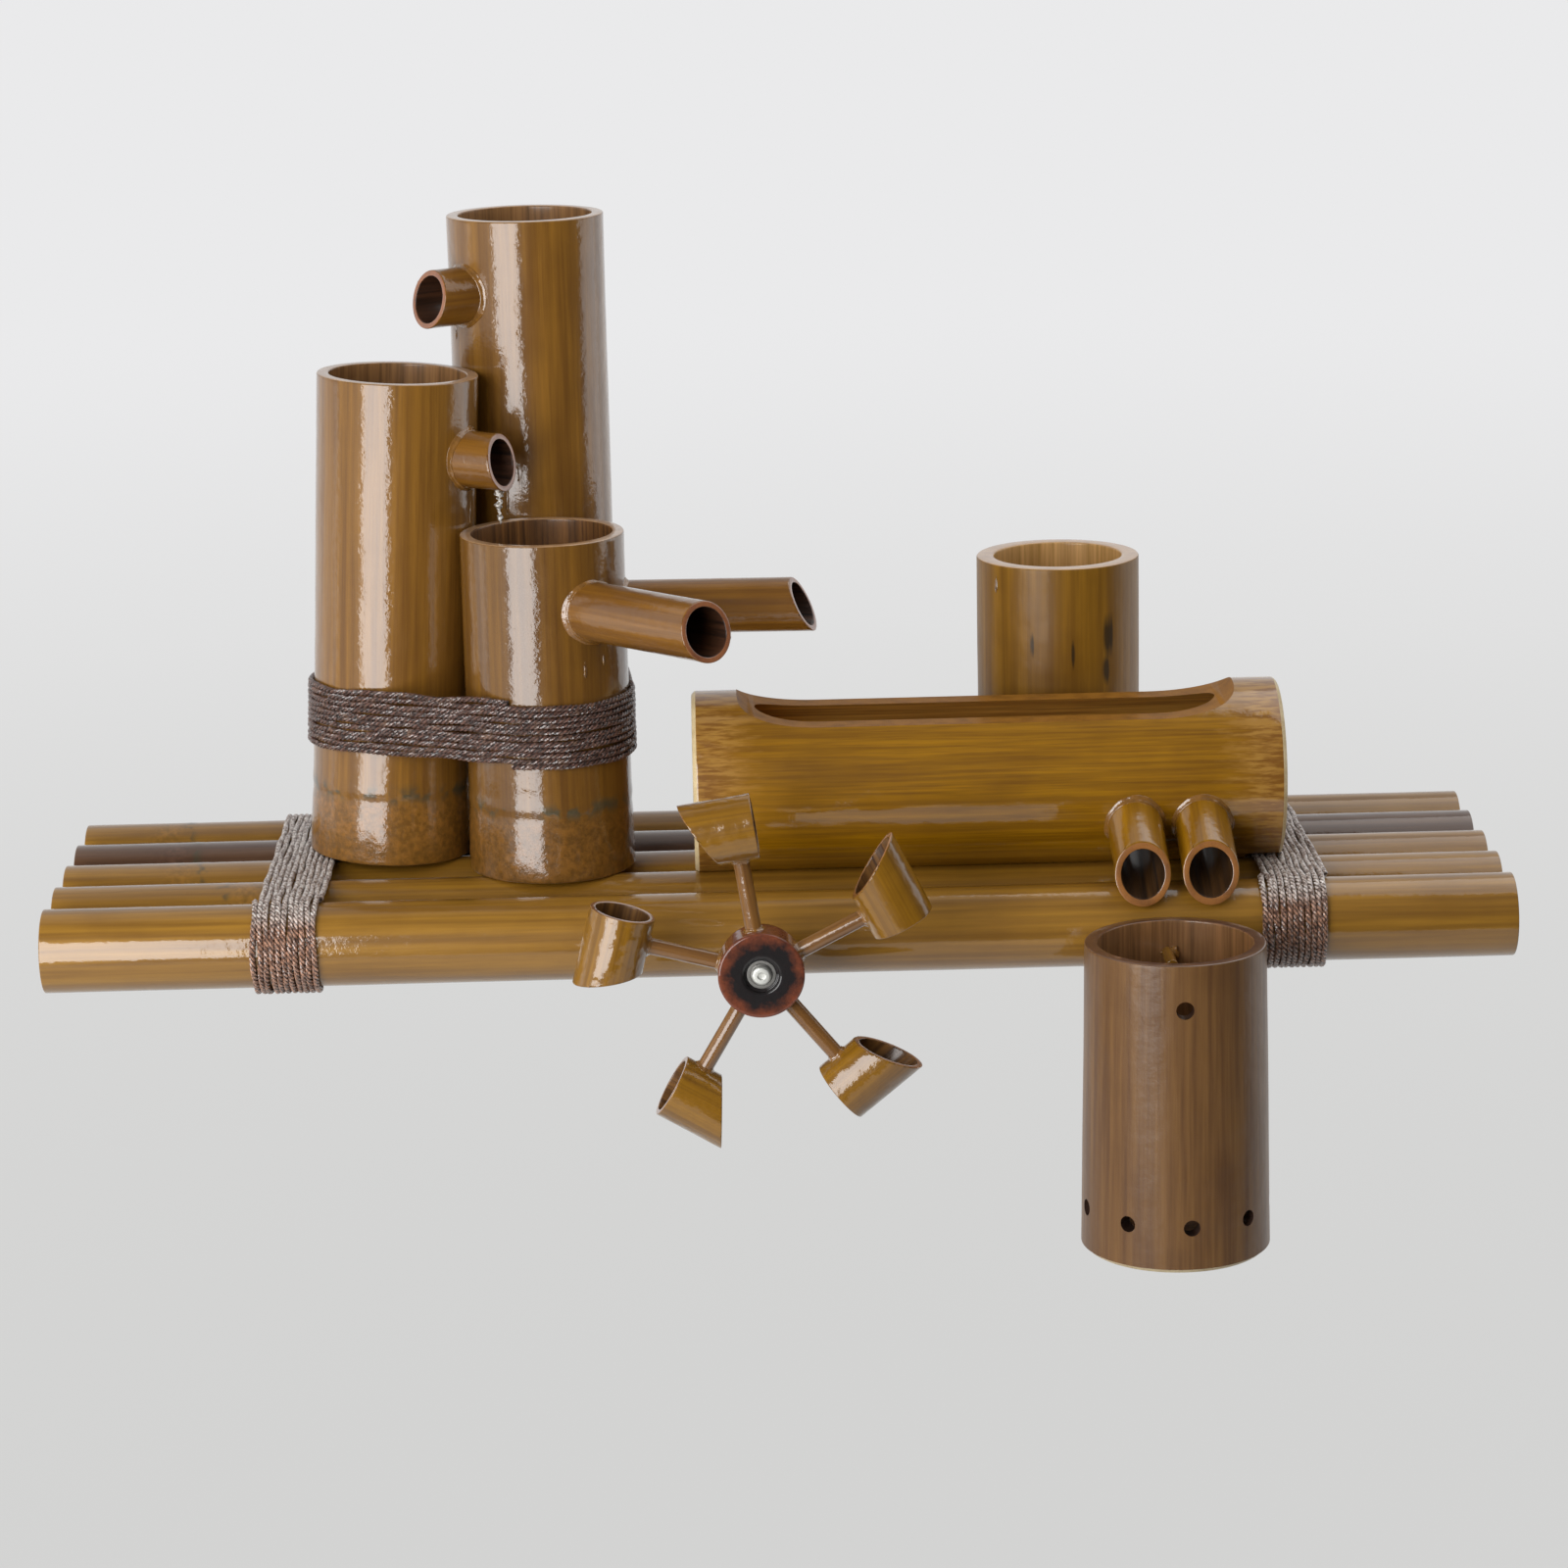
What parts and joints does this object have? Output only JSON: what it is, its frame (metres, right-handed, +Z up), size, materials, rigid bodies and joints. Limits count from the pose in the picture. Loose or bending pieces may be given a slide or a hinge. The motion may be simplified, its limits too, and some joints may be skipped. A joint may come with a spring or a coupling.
{
  "type": "bamboo water spout",
  "caption": "Bamboo raft with lashed stepped tubes whose spouts pour into a trough and a water wheel, a standing cup and a pump housing",
  "frame": {"origin": "middle of the raft in plan, on the underside of its poles, where it lies on the rim of a basin", "axes": "+X along the poles to the trough end, +Y to the back, +Z up, the wheel and the pump housing on the -Y side"},
  "size_m": [0.8, 0.3376, 0.5343],
  "materials": {
    "pole_bamboo": "varnished golden brown bamboo",
    "dark_bamboo": "varnished dark stained bamboo",
    "tube_bamboo": "glossy varnished brown bamboo",
    "trough_bamboo": "glossy varnished golden bamboo",
    "cup_bamboo": "varnished bamboo with a pale cut rim",
    "housing_bamboo": "varnished brown bamboo",
    "wheel_bamboo": "glossy varnished thin bamboo",
    "hub_wood": "charred and varnished bamboo slice",
    "dowel_wood": "bare wooden dowel",
    "lashing_cord": "twisted cord soaked in varnish",
    "axle_steel": "bright turned steel",
    "screw_steel": "zinc-plated steel"
  },
  "bodies": {
    "raft": {"pole_front": "pole_bamboo", "pole_second": "pole_bamboo", "pole_middle": "pole_bamboo", "pole_fourth": "dark_bamboo", "pole_rear": "pole_bamboo", "cross_dowel_left": "dowel_wood", "cross_dowel_right": "dowel_wood", "raft_lashing_left": "lashing_cord", "raft_lashing_right": "lashing_cord", "tube_lashing": "lashing_cord", "tall_tube": "tube_bamboo", "mid_tube": "tube_bamboo", "short_tube": "tube_bamboo", "tall_spout": "tube_bamboo", "mid_spout": "tube_bamboo", "front_spout": "tube_bamboo", "rear_spout": "tube_bamboo", "trough": "trough_bamboo", "trough_spout_left": "trough_bamboo", "trough_spout_right": "trough_bamboo", "back_cup": "cup_bamboo", "pump_housing": "housing_bamboo", "housing_peg": "dowel_wood", "axle_bolt": "axle_steel", "axle_washer": "screw_steel", "axle_spacer": "dowel_wood", "short_screw_1": "screw_steel", "short_screw_2": "screw_steel", "mid_screw_1": "screw_steel", "mid_screw_2": "screw_steel", "tall_screw_1": "screw_steel", "tall_screw_2": "screw_steel", "cup_screw_1": "screw_steel", "cup_screw_2": "screw_steel", "trough_screw_1": "screw_steel", "trough_screw_2": "screw_steel"},
    "wheel": {"wheel_hub": "hub_wood", "hub_bush": "axle_steel", "wheel_arm_1": "wheel_bamboo", "wheel_arm_2": "wheel_bamboo", "wheel_arm_3": "wheel_bamboo", "wheel_arm_4": "wheel_bamboo", "wheel_arm_5": "wheel_bamboo", "wheel_cup_1": "wheel_bamboo", "wheel_cup_2": "wheel_bamboo", "wheel_cup_3": "wheel_bamboo", "wheel_cup_4": "wheel_bamboo", "wheel_cup_5": "wheel_bamboo"}
  },
  "joints": [
    {"name": "wheel_spin", "type": "hinge", "parent": "raft", "child": "wheel", "pos_m": [-0.0114, -0.16495, 0.02285], "axis": [0, -1, 0], "continuous": true}
  ]
}
